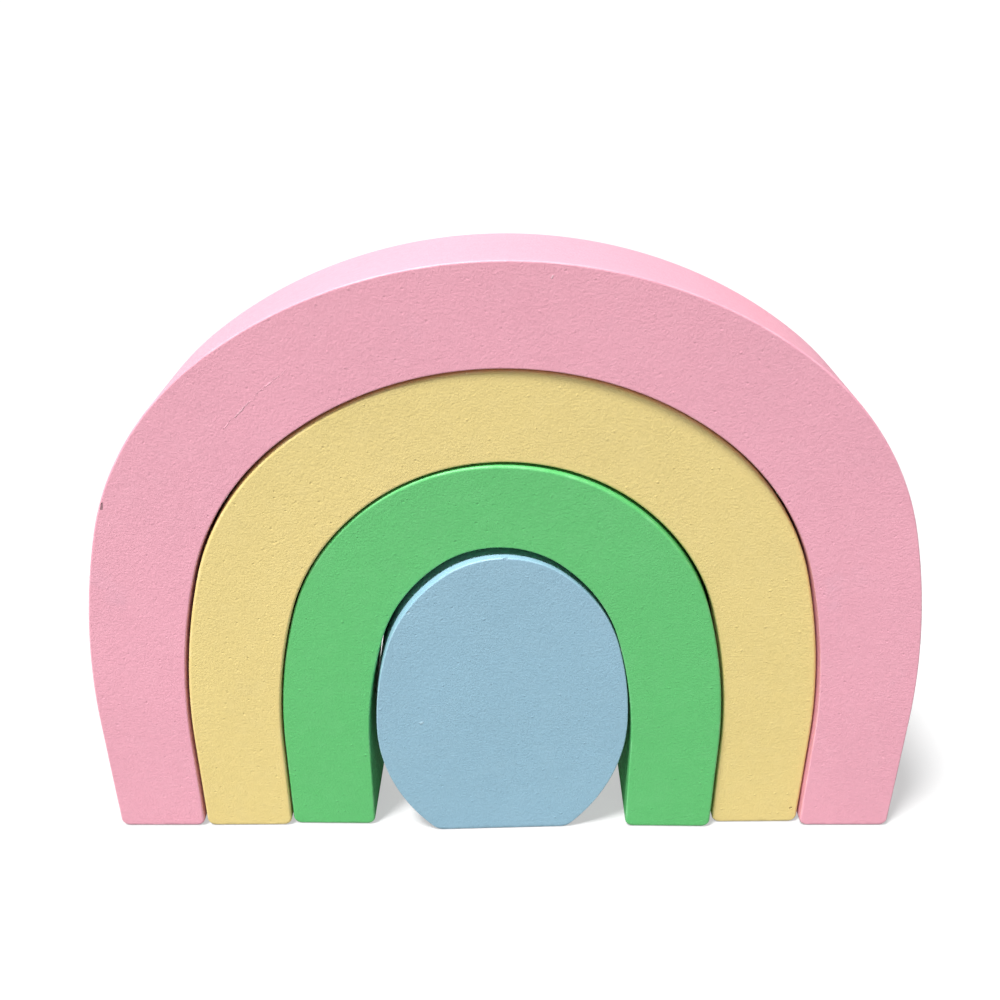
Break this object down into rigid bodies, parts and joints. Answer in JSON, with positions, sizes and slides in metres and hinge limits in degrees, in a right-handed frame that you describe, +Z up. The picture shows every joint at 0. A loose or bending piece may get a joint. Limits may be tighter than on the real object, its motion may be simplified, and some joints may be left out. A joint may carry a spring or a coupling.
{
  "type": "rainbow stacker",
  "caption": "Nesting rainbow of painted board arches over a flat-footed oval block; the pieces slide apart to stack and balance.",
  "frame": {"origin": "on the floor, midway between the feet of the outer arch and midway through the depth of the board", "axes": "+X to the right across the rainbow, +Y from the front face to the back, +Z up"},
  "size_m": [0.15, 0.0205, 0.1115],
  "materials": {
    "pink_paint": "board painted pastel pink, satin, fine roller stipple",
    "yellow_paint": "board painted pastel yellow, satin, fine roller stipple",
    "green_paint": "board painted bright green, satin, fine roller stipple",
    "blue_paint": "board painted pale blue, satin, fine roller stipple"
  },
  "bodies": {
    "outer_arch": {"outer_arch": "pink_paint"},
    "middle_arch": {"middle_arch": "yellow_paint"},
    "inner_arch": {"inner_arch": "green_paint"},
    "centre_block": {"centre_block": "blue_paint"}
  },
  "joints": [
    {"name": "middle_slide", "type": "slide", "parent": "outer_arch", "child": "middle_arch", "axis": [0, -1, 0], "range_m": [-0.024, 0.024]},
    {"name": "inner_slide", "type": "slide", "parent": "middle_arch", "child": "inner_arch", "axis": [0, -1, 0], "range_m": [-0.024, 0.024]},
    {"name": "block_slide", "type": "slide", "parent": "inner_arch", "child": "centre_block", "axis": [0, -1, 0], "range_m": [-0.024, 0.024]}
  ]
}
